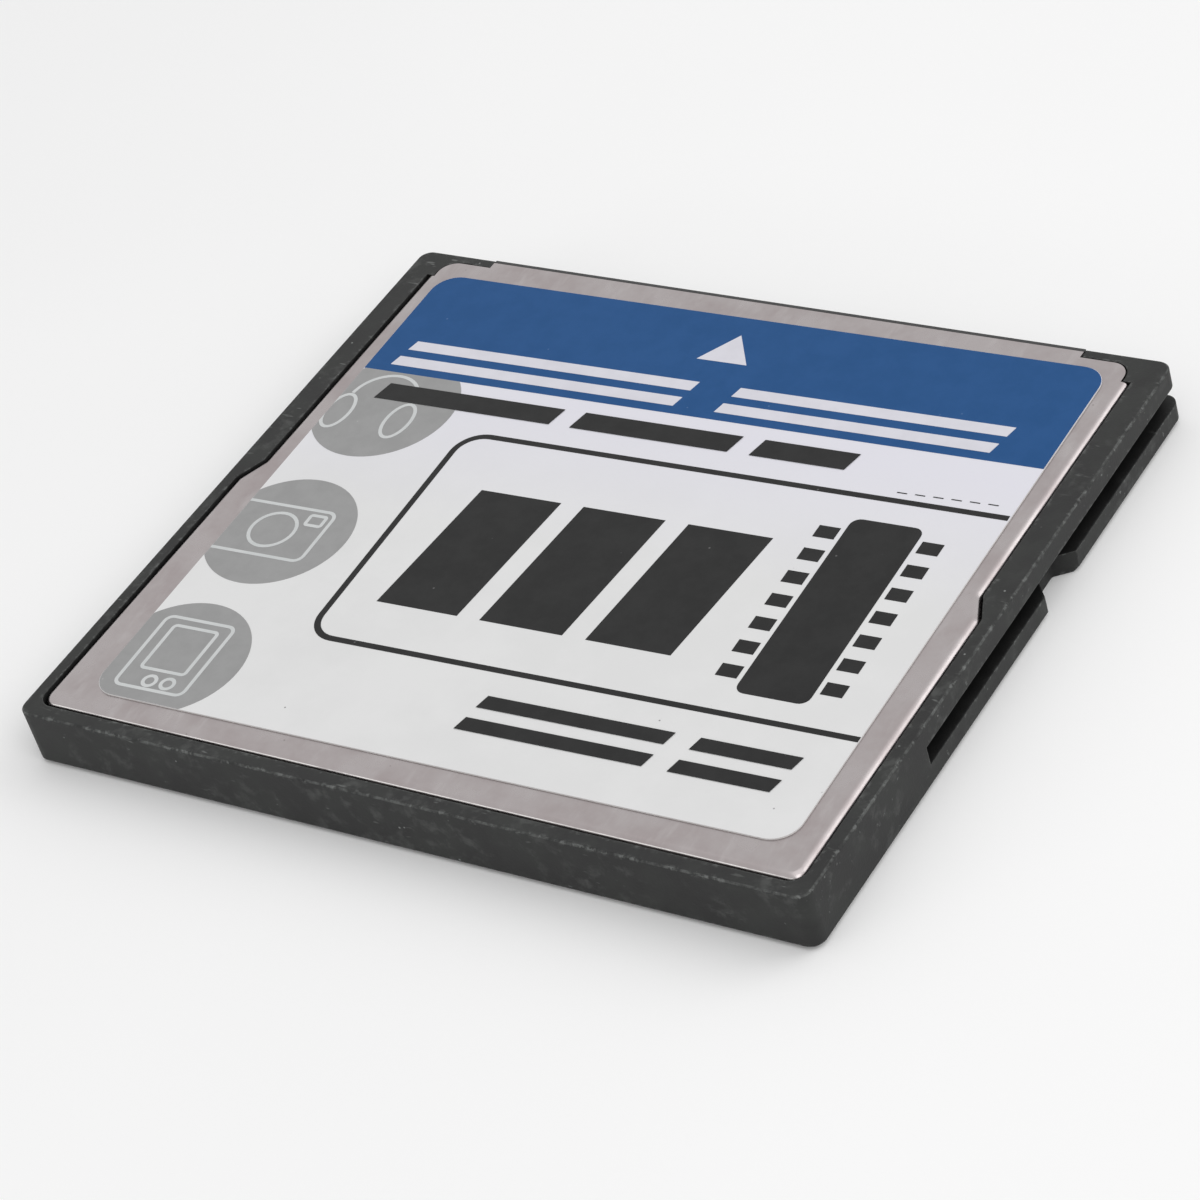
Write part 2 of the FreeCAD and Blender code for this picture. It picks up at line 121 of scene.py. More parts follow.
# 1 along edges and on the narrow upper bevels, 0 on flats; an edge is where the rounded
# normal leans off the flat one
def edgeMask(tree, radiusMm):
    look = maskLook
    rounded = addNode(tree, "ShaderNodeBevel", {"Radius": radiusMm * mm}, samples=look["roundSamples"])
    flat = addNode(tree, "ShaderNodeNewGeometry").outputs["True Normal"]
    dot = addNode(tree, "ShaderNodeVectorMath", {0: rounded, 1: flat}, operation="DOT_PRODUCT")
    lean = addNode(tree, "ShaderNodeMapRange", {
        "Value": dot.outputs["Value"], "From Min": look["flatDot"], "From Max": look["edgeDot"]},
        interpolation_type="SMOOTHSTEP")
    axes = addNode(tree, "ShaderNodeSeparateXYZ", {"Vector": flat})
    upperBevel = addNode(tree, "ShaderNodeMath", {
        0: axes.outputs["Z"], 1: look["bevelUp"], 2: look["bevelSpread"]}, operation="COMPARE")
    edge = addNode(tree, "ShaderNodeMath", {0: lean, 1: upperBevel}, operation="MAXIMUM")
    return edge, rounded


# fine relief under a shader, on top of a rounded normal where there is one
def grainBump(tree, where, sizeMm, deepMm, strength, stretch=(1.0, 1.0, 1.0), under=None):
    drawn = addNode(tree, "ShaderNodeMapping", {"Vector": where, "Scale": stretch})
    grain = addNode(tree, "ShaderNodeTexNoise", {"Vector": drawn, "Scale": 1 / sizeMm, "Detail": 2.0})
    bump = {"Strength": strength, "Distance": deepMm * mm, "Height": grain}
    if under:
        bump["Normal"] = under
    return addNode(tree, "ShaderNodeBump", bump)


plasticLook = {
    # the near-black last colour is painted shade for the slots and gaps
    "base": "#2b2b2b", "light": "#353635", "smudge": "#4a4b4a", "scuff": "#9a9d9b", "grime": "#0e0e0e",
    "mottle": {"sizeMm": 2.4, "low": 0.35, "high": 0.65},
    "smudges": {"sizeMm": 0.9, "low": 0.48, "high": 0.70, "amount": 0.85, "detail": 6.0},
    "handled": {"sizeMm": 4.5, "low": 0.40, "high": 0.58},
    # drawn about twice as wide as real scratches, to show in the render
    "scratches": {"sizeMm": 0.35, "low": 0.66, "high": 0.74, "amount": 0.35, "detail": 2.0,
                  "stretch": (0.25, 1.0, 1.0)},
    "nicks": {"cellMm": 0.8, "speckMm": 0.13, "amount": 0.7},
    "edgeMm": 0.12, "rubs": {"sizeMm": 0.42, "low": 0.36, "high": 0.72, "amount": 0.26, "detail": 6.0},
    "besideMm": 0.42, "chips": {"sizeMm": 0.34, "low": 0.53, "high": 0.66, "amount": 0.27, "detail": 3.0},
    # how much painted shade the slots and gaps get, by how much sky they see
    "recessMm": 2.6, "skySamples": 6, "unshadedSky": 0.86, "fullyShadedSky": 0.46, "recessShadeAmount": 0.96,
    # some four times coarser than real spark erosion, to show in the render
    "grain": {"sizeMm": 0.11, "deepMm": 0.02, "strength": 0.35},
    "roughness": (0.50, 0.62), "ior": 1.55, "specular": 0.16,
}


# glass-filled PBT, injection moulded: dark grey and dull from its spark-eroded grain, rubbed to a
# pale broken line along its edges, smudged, scratched and nicked on its faces, with painted shade in its
# slots
def mouldedPlastic():
    look = plasticLook
    material, tree, where = startMaterial("mouldedGlassFilledPbt")
    mottle = cloudMask(tree, where, **look["mottle"])
    handled = cloudMask(tree, where, **look["handled"])
    smudges = cloudMask(tree, where, **look["smudges"])
    smudged = addNode(tree, "ShaderNodeMath", {0: smudges, 1: handled}, operation="MULTIPLY")
    scratches = cloudMask(tree, where, **look["scratches"])
    scratched = addNode(tree, "ShaderNodeMath", {0: scratches, 1: handled}, operation="MULTIPLY")
    nicked = speckMask(tree, where, **look["nicks"])
    edge, rounded = edgeMask(tree, look["edgeMm"])
    rubs = cloudMask(tree, where, **look["rubs"])
    worn = addNode(tree, "ShaderNodeMath", {0: edge, 1: rubs}, operation="MULTIPLY")
    besideEdge = edgeMask(tree, look["besideMm"])[0]
    chips = cloudMask(tree, where, **look["chips"])
    chipped = addNode(tree, "ShaderNodeMath", {0: besideEdge, 1: chips}, operation="MULTIPLY")
    # painted shade: the slots and gaps, where little of the sky is open, are darkened towards near black
    openSky = addNode(tree, "ShaderNodeAmbientOcclusion", {"Distance": look["recessMm"] * mm},
                      samples=look["skySamples"], only_local=True)
    grime = addNode(tree, "ShaderNodeMapRange", {
        "Value": openSky.outputs["AO"], "From Min": look["unshadedSky"], "From Max": look["fullyShadedSky"],
        "To Max": look["recessShadeAmount"]})
    bump = grainBump(tree, where, **look["grain"], under=rounded)
    rough = addNode(tree, "ShaderNodeMapRange", {
        "Value": mottle, "To Min": look["roughness"][0], "To Max": look["roughness"][1]})
    endMaterial(tree, look["base"], [
        (mottle, look["light"]), (smudged, look["smudge"]), (scratched, look["scuff"]),
        (nicked, look["scuff"]), (chipped, look["scuff"]), (worn, look["scuff"]),
        (grime, look["grime"])],
        {"Roughness": rough, "IOR": look["ior"], "Specular IOR Level": look["specular"], "Normal": bump})
    return material


steelLook = {
    # the last colour is a painted highlight along the rear bend
    "base": "#aaa4a4", "stain": "#9c9393", "rubbed": "#b3aeae", "pit": "#6a6260", "burnished": "#f0ecea",
    "stains": {"sizeMm": 2.6, "low": 0.30, "high": 0.76, "amount": 0.9},
    "rubs": {"sizeMm": 1.0, "low": 0.50, "high": 0.74, "amount": 0.6, "detail": 5.0,
             "stretch": (1.0, 0.3, 1.0)},
    "pits": {"cellMm": 0.9, "speckMm": 0.12, "amount": 0.5},
    "bendLean": -0.735, "bendSpread": 0.045,  # rearward part of the normal along the painted highlight line
    "polish": {"sizeMm": 1.8, "low": 0.26, "high": 0.56},
    # some four times coarser than the real rolled grain, to show in the render
    "grain": {"sizeMm": 0.09, "deepMm": 0.01, "strength": 0.22, "stretch": (1.0, 0.4, 1.0)},
    "roughness": (0.26, 0.37),
}


# stainless sheet with a pickled and rolled satin finish: pinkish grey, softly clouded,
# rubbed brighter along the rolling, with stains from handling, a few dark pits and a painted highlight along
# the rear bend
def rolledSteel():
    look = steelLook
    material, tree, where = startMaterial("rolledStainlessSheet")
    stains = cloudMask(tree, where, **look["stains"])
    rubbed = cloudMask(tree, where, **look["rubs"])
    pits = speckMask(tree, where, **look["pits"])
    # painted highlight: one bright line along the rear bend, where the normal leans rearward, broken by
    # clouds
    facing = addNode(tree, "ShaderNodeNewGeometry")
    axes = addNode(tree, "ShaderNodeSeparateXYZ", {"Vector": facing.outputs["Normal"]})
    bend = addNode(tree, "ShaderNodeMath", {
        0: axes.outputs["Y"], 1: look["bendLean"], 2: look["bendSpread"]}, operation="COMPARE")
    polish = cloudMask(tree, where, **look["polish"])
    burnished = addNode(tree, "ShaderNodeMath", {0: bend, 1: polish}, operation="MULTIPLY")
    bump = grainBump(tree, where, **look["grain"])
    rough = addNode(tree, "ShaderNodeMapRange", {
        "Value": stains, "To Min": look["roughness"][0], "To Max": look["roughness"][1]})
    endMaterial(tree, look["base"], [
        (stains, look["stain"]), (rubbed, look["rubbed"]), (pits, look["pit"]),
        (burnished, look["burnished"])],
        {"Metallic": 1.0, "Roughness": rough, "Normal": bump})
    return material


filmLook = {
    # the cut-edge colour is painted shade for the label's side faces
    "base": "#e3e3e3", "shade": "#dfdfdf", "cool": "#e1e0e8", "cutEdge": "#dedcdb", "dust": "#7d7d7d",
    "clouds": {"sizeMm": 6.0, "low": 0.35, "high": 0.65},
    "coolFromMm": -1.0, "coolToMm": 8.0,  # along the card, towards the printed band
    "topUp": 0.8, "edgeUp": 0.4,  # upward part of the normal on the top and on the cut edge
    "specks": {"cellMm": 1.7, "speckMm": 0.12, "amount": 1.0},
    # a laminate's grain is finer than this, which is as fine as shows in the render
    "grain": {"sizeMm": 0.14, "deepMm": 0.01, "strength": 0.08},
    "roughness": 0.42, "ior": 1.5, "specular": 0.2,
}


# white vinyl label film, matt laminated: even, barely clouded, a little cooler towards
# the printed band, greyed on its cut edge by painted shade, with specks of dust
def labelFilm():
    look = filmLook
    material, tree, where = startMaterial("whiteVinylFilm")
    clouds = cloudMask(tree, where, **look["clouds"])
    axes = addNode(tree, "ShaderNodeSeparateXYZ", {"Vector": where})
    cool = addNode(tree, "ShaderNodeMapRange", {
        "Value": axes.outputs["Y"], "From Min": look["coolFromMm"], "From Max": look["coolToMm"]})
    # painted shade: the cut edge, whose normal leans off upright, is greyed
    facing = addNode(tree, "ShaderNodeNewGeometry")
    upright = addNode(tree, "ShaderNodeSeparateXYZ", {"Vector": facing.outputs["True Normal"]})
    cutEdge = addNode(tree, "ShaderNodeMapRange", {
        "Value": upright.outputs["Z"], "From Min": look["topUp"], "From Max": look["edgeUp"]})
    dust = speckMask(tree, where, **look["specks"])
    bump = grainBump(tree, where, **look["grain"])
    endMaterial(tree, look["base"], [
        (clouds, look["shade"]), (cool, look["cool"]), (dust, look["dust"]),
        (cutEdge, look["cutEdge"])],
        {"Roughness": look["roughness"], "IOR": look["ior"], "Specular IOR Level": look["specular"],
         "Normal": bump})
    return material


inkLook = {
    "mottle": {"sizeMm": 1.3, "low": 0.3, "high": 0.7},
    "pinholes": {"cellMm": 1.1, "speckMm": 0.13, "amount": 0.7},
    "roughness": 0.45, "ior": 1.5, "specular": 0.12,
}


# offset printing ink under a matt laminate: flat colour, faintly mottled, with tiny pinholes
def printInk(name, main, tint, pinhole):
    look = inkLook
    material, tree, where = startMaterial(name)
    mottle = cloudMask(tree, where, **look["mottle"])
    pinholes = speckMask(tree, where, **look["pinholes"])
    endMaterial(tree, main, [(mottle, tint), (pinholes, pinhole)], {
        "Roughness": look["roughness"], "IOR": look["ior"], "Specular IOR Level": look["specular"]})
    return material


# what shows only through the openings or when the cover is off: name, colour, clouding,
# grain in mm, roughness, metallic
innerLooks = {
    # black and satin
    "connector_plastic": ("mouldedLiquidCrystalPolymer", "#232323", "#2d2d2d", 0.08, 0.50, 0.0),
    # a yellow gleam in the holes
    "plated_contacts": ("goldPlatedBronze", "#d9b25a", "#c39a43", 0.05, 0.25, 1.0),
    # deep green, half gloss
    "board_laminate": ("greenSolderResist", "#12502a", "#0d4222", 0.10, 0.35, 0.0),
    # near black, dull
    "chip_resin": ("mouldedEpoxyResin", "#262628", "#303033", 0.06, 0.60, 0.0),
    # soft silver grey
    "tinned_leads": ("mattTinPlate", "#b9b9b7", "#a6a6a4", 0.05, 0.35, 1.0),
    # tan, eggshell
    "capacitor_ceramic": ("firedTitanateCeramic", "#a5815b", "#8f6c49", 0.05, 0.50, 0.0),
    # mustard, satin
    "bulk_resin": ("yellowEpoxyResin", "#c99a2b", "#b98a20", 0.06, 0.50, 0.0),
    # amber, glossy
    "insulating_film": ("amberPolyimideFilm", "#b98421", "#a87518", 0.12, 0.20, 0.0),
}
innerRelief = {"grainsToCloud": 6, "low": 0.3, "high": 0.7, "deepMm": 0.01, "strength": 0.2}


def innerMaterial(name, main, tint, grainMm, rough, metallic):
    look = innerRelief
    material, tree, where = startMaterial(name)
    cloud = cloudMask(tree, where, grainMm * look["grainsToCloud"], look["low"], look["high"])
    bump = grainBump(tree, where, grainMm, look["deepMm"], look["strength"])
    endMaterial(tree, main, [(cloud, tint)], {"Metallic": metallic, "Roughness": rough, "Normal": bump})
    return material


# dressing of the CAD nodes, by the record's material slot
slotFinish = {
    "black_plastic": mouldedPlastic(), "stainless_steel": rolledSteel(), "label_film": labelFilm(),
}
for slotName, innerLook in innerLooks.items():
    slotFinish[slotName] = innerMaterial(*innerLook)
nodeSlots = {entry["node"]: entry["material_slot"] for entry in frame["record"]["subparts"]}
for nodeName, nodeObject in frame["nodes"].items():
    for slot in nodeObject.material_slots:
        slot.material = slotFinish[nodeSlots[nodeName]]
print("CAD nodes dressed")


# the printed design, laid out in mm from the middle of the label, turned with the print;
# the label's cut size is the one its solid has
printLook = {
    "inkMm": 0.012, "turnDegrees": 1.4, "bleed": 0.03, "mitreFloor": 0.3,
    "labelTurnDegrees": 0.7, "labelWidth": 37.8, "labelLength": 32.4, "labelRadius": 1.3, "labelSteps": 10,
}
labelLow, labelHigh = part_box("label")
labelTop = labelHigh[2] / mm
labelMiddle = Vector(((labelLow[0] + labelHigh[0]) / 2, (labelLow[1] + labelHigh[1]) / 2)) / mm
inks = {
    "blue": printInk("blueOffsetInk", "#245287", "#1f4e82", "#5d7ca3"),
    "black": printInk("blackOffsetInk", "#262626", "#2c2c2c", "#6f6f6f"),
    "grey": printInk("greyOffsetInk", "#979797", "#9d9d9d", "#b4b4b4"),
    "pale": printInk("paleOffsetInk", "#d0d2d2", "#c9cccc", "#b6b6b6"),
    "white": printInk("whiteOffsetInk", "#dcdbe3", "#d6d5dd", "#c2c6cf"),
}


def turned2d(points, degrees):
    spin = Matrix.Rotation(math.radians(degrees), 2)
    return [spin @ Vector(p) for p in points]


def arcPoints(cx, cy, radius, fromDegrees, toDegrees, steps):
    sweep = toDegrees - fromDegrees
    angles = [math.radians(fromDegrees + sweep * i / steps) for i in range(steps + 1)]
    return [Vector((cx + radius * math.cos(a), cy + radius * math.sin(a))) for a in angles]


def roundedRect(cx, cy, width, height, radius, steps):
    points = []
    for quarter, (sx, sy) in enumerate(((1, 1), (-1, 1), (-1, -1), (1, -1))):
        points += arcPoints(cx + sx * (width / 2 - radius), cy + sy * (height / 2 - radius),
                            radius, 90 * quarter, 90 * quarter + 90, steps)
    return points


def ellipsePoints(cx, cy, rx, ry, steps):
    angles = [2 * math.pi * i / steps for i in range(steps)]
    return [Vector((cx + rx * math.cos(a), cy + ry * math.sin(a))) for a in angles]


def slanted(left, right, low, high, leanDegrees=0.0):
    lean = (high - low) * math.tan(math.radians(leanDegrees))
    return [Vector((left, low)), Vector((right, low)),
            Vector((right + lean, high)), Vector((left + lean, high))]


# keeps the part of a shape that lies inside a convex outline, which goes anticlockwise
def clipTo(points, outline):
    for i, a in enumerate(outline):
        b = outline[(i + 1) % len(outline)]
        edge = b - a
        kept = []
        for j, p in enumerate(points):
            q = points[(j + 1) % len(points)]
            sideP = edge.x * (p.y - a.y) - edge.y * (p.x - a.x)
            sideQ = edge.x * (q.y - a.y) - edge.y * (q.x - a.x)
            if sideP >= 0:
                kept.append(p)
            if (sideP >= 0) != (sideQ >= 0):
                kept.append(p + (q - p) * (sideP / (sideP - sideQ)))
        points = kept
        if not points:
            break
    return points


# a stroke of even width along points, as a row of four-sided slabs
def strokeShapes(points, width, closed):
    count = len(points)
    sides = []
    for i, p in enumerate(points):
        before = points[i - 1] if closed or i > 0 else p
        after = points[(i + 1) % count] if closed or i < count - 1 else p
        into = (p - before).normalized()
        out = (after - p).normalized()
        along = (into + out).normalized()
        across = Vector((-along.y, along.x))
        straight = across.dot(Vector((-out.y, out.x))) if out.length else 1.0
        half = across * (width / 2 / max(printLook["mitreFloor"], straight))
        sides.append((p - half, p + half))
    shapes = []
    for i in range(count if closed else count - 1):
        j = (i + 1) % count
        shapes.append([sides[i][0], sides[j][0], sides[j][1], sides[i][1]])
    return shapes


# a thin slab of ink for each shape, standing on the label or on the ink below it
def inkPiece(name, shapes, ink, layer=0):
    low = labelTop + layer * printLook["inkMm"]
    high = low + printLook["inkMm"]
    mesh = bmesh.new()
    for shape in shapes:
        flat = [labelMiddle + p for p in turned2d(shape, printLook["turnDegrees"])]
        lower = [mesh.verts.new((p.x * mm, p.y * mm, low * mm)) for p in flat]
        upper = [mesh.verts.new((p.x * mm, p.y * mm, high * mm)) for p in flat]
        mesh.faces.new(upper)
        mesh.faces.new(list(reversed(lower)))
        for i in range(len(flat)):
            j = (i + 1) % len(flat)
            mesh.faces.new((lower[i], lower[j], upper[j], upper[i]))
    bmesh.ops.recalc_face_normals(mesh, faces=mesh.faces)
    bmesh.ops.triangulate(mesh, faces=[f for f in mesh.faces if len(f.verts) > 4])
    data = bpy.data.meshes.new(name)
    mesh.to_mesh(data)
    mesh.free()
    data.materials.append(inks[ink])
    piece = bpy.data.objects.new(name, data)
    bpy.context.collection.objects.link(piece)
    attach(piece, "root")


# the label's own outline, seen from the print's axes
labelOutline = turned2d(
    roundedRect(0, 0, printLook["labelWidth"] - printLook["bleed"],
                printLook["labelLength"] - printLook["bleed"],
                printLook["labelRadius"], printLook["labelSteps"]),
    printLook["labelTurnDegrees"] - printLook["turnDegrees"])

bandLook = {"lowEdge": 8.62, "reach": 30.0}  # reaches well past the label, which trims it
bandShape = slanted(-bandLook["reach"], bandLook["reach"], bandLook["lowEdge"], bandLook["reach"])
inkPiece("inkBlueBand", [clipTo(bandShape, labelOutline)], "blue")

arrowLook = {"middle": -0.2, "width": 2.8, "foot": 12.75, "tip": 14.86}
inkPiece("inkInsertArrow", [[
    Vector((arrowLook["middle"] - arrowLook["width"] / 2, arrowLook["foot"])),
    Vector((arrowLook["middle"] + arrowLook["width"] / 2, arrowLook["foot"])),
    Vector((arrowLook["middle"], arrowLook["tip"]))]], "white", 1)

discLook = {"radius": 3.84, "steps": 72, "places": ((-15.85, 6.03), (-16.0, -3.65), (-16.15, -13.0))}
belowBand = slanted(-bandLook["reach"], bandLook["reach"], -bandLook["reach"], bandLook["lowEdge"])
discShapes = []
for discPlace in discLook["places"]:
    disc = ellipsePoints(*discPlace, discLook["radius"], discLook["radius"], discLook["steps"])
    discShapes.append(clipTo(clipTo(disc, labelOutline), belowBand))
inkPiece("inkGreyDiscs", discShapes, "grey")

# own plain signs for headphones, a camera and a handheld, drawn in one even line;
# each box is its middle, width, height and corner radius
iconLook = {
    "line": 0.19, "cornerSteps": 5,
    "cupPlaces": ((-18.25, 5.25), (-14.6, 5.15)), "cupRadii": (0.70, 1.28), "cupSteps": 28,
    "bow": (-16.4, 6.5, 1.85), "bowDegrees": (5, 175), "bowSteps": 24,
    "camera": (-17.17, -3.69, 6.85, 3.57, 0.45), "flash": (-14.58, -2.61, 0.9, 0.7, 0.12),
    "handheld": (-16.14, -12.84, 3.97, 4.83, 0.4), "screen": (-16.12, -12.45, 2.55, 3.0, 0.2),
    "lens": (-16.47, -3.66), "lensRadii": (1.22, 1.22), "lensSteps": 32,
    "keys": ((-16.35, -14.70), (-15.32, -14.68)), "keyRadii": (0.34, 0.34), "keySteps": 20,
}
iconLoops = []
for cupPlace in iconLook["cupPlaces"]:
    iconLoops.append(ellipsePoints(*cupPlace, *iconLook["cupRadii"], iconLook["cupSteps"]))
for box in ("camera", "flash", "handheld", "screen"):
    iconLoops.append(roundedRect(*iconLook[box], iconLook["cornerSteps"]))
iconLoops.append(ellipsePoints(*iconLook["lens"], *iconLook["lensRadii"], iconLook["lensSteps"]))
for keyPlace in iconLook["keys"]:
    iconLoops.append(ellipsePoints(*keyPlace, *iconLook["keyRadii"], iconLook["keySteps"]))
bowPath = arcPoints(*iconLook["bow"], *iconLook["bowDegrees"], iconLook["bowSteps"])
iconStrokes = strokeShapes(bowPath, iconLook["line"], False)
for loop in iconLoops:
    iconStrokes += strokeShapes(loop, iconLook["line"], True)
iconShapes = [clipTo(shape, labelOutline) for shape in iconStrokes]
inkPiece("inkDeviceIcons", [shape for shape in iconShapes if len(shape) > 2], "pale", 1)

outlineLook = {
    "left": -10.45, "right": 18.9, "top": 5.05, "low": -9.9,
    "radius": 1.4, "cornerSteps": 10, "line": 0.33,
}


# open on the right, where it runs off the label
def outlinePath():
    look = outlineLook
    inner = look["left"] + look["radius"]
    upper = arcPoints(inner, look["top"] - look["radius"], look["radius"], 90, 180, look["cornerSteps"])
    lower = arcPoints(inner, look["low"] + look["radius"], look["radius"], 180, 270, look["cornerSteps"])
    return [Vector((look["right"], look["top"])), *upper, *lower, Vector((look["right"], look["low"]))]


outlineStrokes = strokeShapes(outlinePath(), outlineLook["line"], False)
inkPiece("inkRoundedOutline", [clipTo(shape, labelOutline) for shape in outlineStrokes], "black")


# a row of equal leaning slabs of ink, its sizes given to the modifier
def slabRowTree():
    tree = bpy.data.node_groups.new("slabRow", "GeometryNodeTree")
    for name, kind in (("Count", "Int"), ("Start", "Vector"), ("Step", "Vector"), ("Size", "Vector"),
                       ("Lean", "Float"), ("Middle", "Vector"), ("Turn", "Vector"), ("Ink", "Material")):
        tree.interface.new_socket(name=name, in_out="INPUT", socket_type="NodeSocket" + kind)
    tree.interface.new_socket(name="Row", in_out="OUTPUT", socket_type="NodeSocketGeometry")
    given = addNode(tree, "NodeGroupInput").outputs
    slab = addNode(tree, "GeometryNodeMeshCube", {"Size": given["Size"]})
    corner = addNode(tree, "GeometryNodeInputPosition")
    axes = addNode(tree, "ShaderNodeSeparateXYZ", {"Vector": corner})
    shift = addNode(tree, "ShaderNodeMath", {0: axes.outputs["Y"], 1: given["Lean"]}, operation="MULTIPLY")
    offset = addNode(tree, "ShaderNodeCombineXYZ", {"X": shift})
    leaning = addNode(tree, "GeometryNodeSetPosition", {"Geometry": slab, "Offset": offset})
    line = addNode(tree, "GeometryNodeMeshLine", {
        "Count": given["Count"], "Start Location": given["Start"], "Offset": given["Step"]}, mode="OFFSET")
    row = addNode(tree, "GeometryNodeInstanceOnPoints", {"Points": line, "Instance": leaning})
    placed = addNode(tree, "GeometryNodeTransform", {
        "Geometry": row, "Translation": given["Middle"], "Rotation": given["Turn"]})
    real = addNode(tree, "GeometryNodeRealizeInstances", {"Geometry": placed})
    inked = addNode(tree, "GeometryNodeSetMaterial", {"Geometry": real, "Material": given["Ink"]})
    addNode(tree, "NodeGroupOutput", {"Row": inked})
    return tree


slabRow = slabRowTree()


def rowPiece(name, ink, look):
    thick = printLook["inkMm"]
    values = {
        "Count": look["count"],
        "Start": Vector((*look["first"], 0)) * mm, "Step": Vector((*look["step"], 0)) * mm,
        "Size": Vector((*look["size"], thick)) * mm, "Lean": math.tan(math.radians(look["lean"])),
        "Middle": Vector((*labelMiddle, labelTop + thick / 2)) * mm,
        "Turn": (0.0, 0.0, math.radians(printLook["turnDegrees"])), "Ink": inks[ink],
    }
    piece = bpy.data.objects.new(name, bpy.data.meshes.new(name + "Start"))
    bpy.context.collection.objects.link(piece)
    modifier = piece.modifiers.new("row", "NODES")
    modifier.node_group = slabRow
    for socket in slabRow.interface.items_tree:
        if socket.in_out == "INPUT":
            modifier[socket.identifier] = values[socket.name]
    shaped = piece.evaluated_get(bpy.context.evaluated_depsgraph_get())
    mesh = bpy.data.meshes.new_from_object(shaped)
    piece.modifiers.remove(modifier)
    piece.data = mesh
    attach(piece, "root")


levelLook = {"count": 3, "first": (-5.55, -2.85), "step": (5.75, 0.0), "size": (4.5, 8.4), "lean": 6.0}
rowPiece("inkLevelBars", "black", levelLook)

# a generic chip: its body is a middle, width, height and corner radius
chipLook = {
    "body": (13.6, -2.5, 3.7, 12.0, 0.5), "cornerSteps": 5,
    "firstPins": {"Left": (10.95, -7.3), "Right": (16.25, -7.3)},
    "pins": {"count": 7, "step": (0.0, 1.6), "size": (1.1, 0.8), "lean": 0.0},
}
inkPiece("inkChipMark", [roundedRect(*chipLook["body"], chipLook["cornerSteps"])], "black")
for pinSide, firstPin in chipLook["firstPins"].items():
    rowPiece("inkChipPins" + pinSide, "black", {"first": firstPin, **chipLook["pins"]})

# stray ink where the plate touched down beside the outline
strayLook = {"count": 6, "first": (13.2, 5.62), "step": (0.92, 0.03), "size": (0.52, 0.06), "lean": 0.0}
rowPiece("inkStrayDashes", "black", strayLook)

# plain slanted stripes, white across the band and black above and below the outline;
# each is left, right, low and high
stripeLook = {
    "lean": 14.0,
    "white": [(-17.5, -1.0, 9.15, 9.85), (-17.2, -0.7, 10.4, 11.1),
              (1.3, 16.0, 9.15, 9.85), (1.6, 16.3, 10.4, 11.1)],
    "black": [(-16.9, -6.6, 6.55, 7.75), (-5.4, 3.4, 6.55, 7.75), (4.6, 9.7, 6.55, 7.75),
              (0.2, 10.0, -13.85, -13.05), (0.5, 10.3, -12.35, -11.55),
              (11.3, 16.4, -13.85, -13.05), (11.6, 16.7, -12.35, -11.55)],
}
for stripeName, stripeInk, stripeLayer in (("inkWhiteStripes", "white", 1), ("inkBlackStripes", "black", 2)):
    stripes = [slanted(*stripe, stripeLook["lean"]) for stripe in stripeLook[stripeInk]]
    inkPiece(stripeName, stripes, stripeInk, stripeLayer)
print("label printed")


stageLook = {
    "floorHalf": 3.0, "floorDropMm": 0.01, "floorWhite": "#f9f9f9", "floorCloud": "#f7f7f7",
    "clouds": {"sizeMm": 60.0, "low": 0.3, "high": 0.7, "detail": 2.0},
    "floorRoughness": 0.9, "floorSpecular": 0.1,
    "nearLift": 0.03, "farLift": 0.36, "liftFromMm": 180.0, "liftToMm": 900.0,
    "white": "#ffffff", "worldFill": 0.55,
}


# 1 for what the camera, a reflection or a pane of glass sees, 0 for the light on the object
def seenMask(tree):
    path = addNode(tree, "ShaderNodeLightPath").outputs
    seen = addNode(tree, "ShaderNodeMath", {0: path["Is Camera Ray"], 1: path["Is Glossy Ray"]},
                   operation="MAXIMUM")
    return addNode(tree, "ShaderNodeMath", {0: seen, 1: path["Is Transmission Ray"]}, operation="MAXIMUM")


# matt paper sweep: an even white that takes a soft shadow, lifted a little where it is seen
def makeFloor():
    look = stageLook
    half = look["floorHalf"]
    drop = -look["floorDropMm"] * mm  # keeps the floor off the card's own underside
    corners = ((-half, -half), (half, -half), (half, half), (-half, half))
    mesh = bmesh.new()
    mesh.faces.new([mesh.verts.new((*corner, drop)) for corner in corners])
    data = bpy.data.meshes.new("floor")
    mesh.to_mesh(data)
    mesh.free()
    material, tree, where = startMaterial("palePaperSweep")
    clouds = cloudMask(tree, where, **look["clouds"])
    # further out, where the lamps fade, the sweep is lifted more, as if it curved up towards them
    away = addNode(tree, "ShaderNodeVectorMath", {0: where}, operation="LENGTH")
    level = addNode(tree, "ShaderNodeMapRange", {
        "Value": away.outputs["Value"], "From Min": look["liftFromMm"], "From Max": look["liftToMm"],
        "To Min": look["nearLift"], "To Max": look["farLift"]}, interpolation_type="SMOOTHSTEP")
    lift = addNode(tree, "ShaderNodeMath", {0: seenMask(tree), 1: level}, operation="MULTIPLY")
    endMaterial(tree, look["floorWhite"], [(clouds, look["floorCloud"])], {
        "Roughness": look["floorRoughness"], "Specular IOR Level": look["floorSpecular"],
        "Emission Color": hexColour(look["white"]), "Emission Strength": lift})
    data.materials.append(material)
    floor = bpy.data.objects.new("floor", data)
    bpy.context.collection.objects.link(floor)


# white to the camera and to reflections, a softer fill as light
def makeWorld():
    look = stageLook
    world = bpy.data.worlds.new("studio")
    world.use_nodes = True
    tree = world.node_tree
    tree.nodes.clear()
    level = addNode(tree, "ShaderNodeMapRange", {"Value": seenMask(tree), "To Min": look["worldFill"]})
    back = addNode(tree, "ShaderNodeBackground", {"Color": hexColour(look["white"]), "Strength": level})
    addNode(tree, "ShaderNodeOutputWorld", {"Surface": back})
    bpy.context.scene.world = world


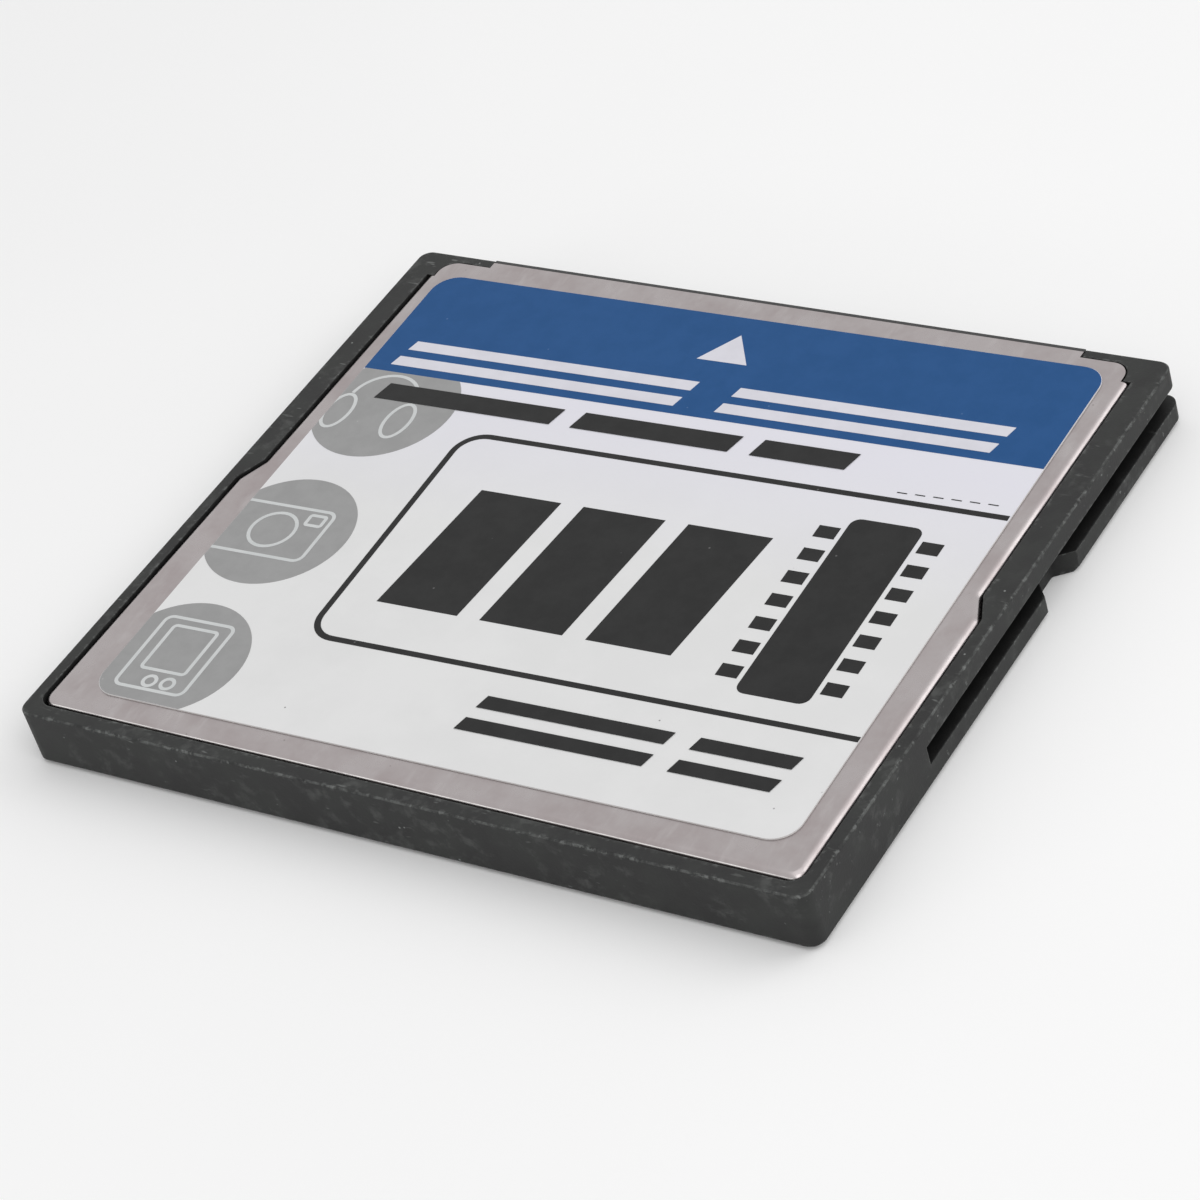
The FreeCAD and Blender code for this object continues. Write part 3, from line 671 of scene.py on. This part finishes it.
lampLook = {
    "topSoftbox": {"place": (0.12, 0.08, 0.45), "size": (0.5, 0.5), "watts": 0.58},
    "farRightSoftbox": {"place": (0.28, 0.26, 0.24), "size": (0.25, 0.25), "watts": 0.30},
    "nearLeftStrip": {"place": (-0.245, -0.385, 0.105), "size": (0.22, 0.05), "watts": 0.15},
    "nearRightSoftbox": {"place": (0.33, -0.18, 0.36), "size": (0.3, 0.3), "watts": 0.56},
}


# each lamp is aimed at the card
def makeLamps():
    for name, lamp in lampLook.items():
        data = bpy.data.lights.new(name, "AREA")
        data.shape = "RECTANGLE"
        data.size, data.size_y = lamp["size"]
        data.energy = lamp["watts"]
        light = bpy.data.objects.new(name, data)
        light.location = lamp["place"]
        light.rotation_euler = (-Vector(lamp["place"])).to_track_quat("-Z", "Y").to_euler()
        bpy.context.collection.objects.link(light)


# the photograph's view: where it looks and from how far in mm, and how the camera was tilted
cameraLook = {
    "target": (-0.28, -0.54, -0.27), "distance": 191.97,
    "azimuth": 42.131, "elevation": 38.080, "roll": -17.829,
    "lens": 122.75, "sensor": 36.0, "nearest": 0.01,
}


def makeCamera():
    look = cameraLook
    azimuth = math.radians(look["azimuth"])
    elevation = math.radians(look["elevation"])
    roll = math.radians(look["roll"])
    ahead = Vector((-math.sin(azimuth) * math.cos(elevation), math.cos(azimuth) * math.cos(elevation),
                    -math.sin(elevation)))
    level = Vector((math.cos(azimuth), math.sin(azimuth), 0))
    upright = level.cross(ahead)
    right = level * math.cos(roll) + upright * math.sin(roll)
    up = right.cross(ahead)
    data = bpy.data.cameras.new("photoView")
    data.lens = look["lens"]
    data.sensor_width = look["sensor"]
    data.clip_start = look["nearest"]
    camera = bpy.data.objects.new("photoView", data)
    place = Matrix((right, up, -ahead)).transposed().to_4x4()
    place.translation = (Vector(look["target"]) - ahead * look["distance"]) * mm
    camera.matrix_world = place
    bpy.context.collection.objects.link(camera)
    bpy.context.scene.camera = camera


makeFloor()
makeWorld()
makeLamps()
makeCamera()
bpy.context.scene.view_settings.view_transform = "Standard"
print("stage, lamps and camera set")
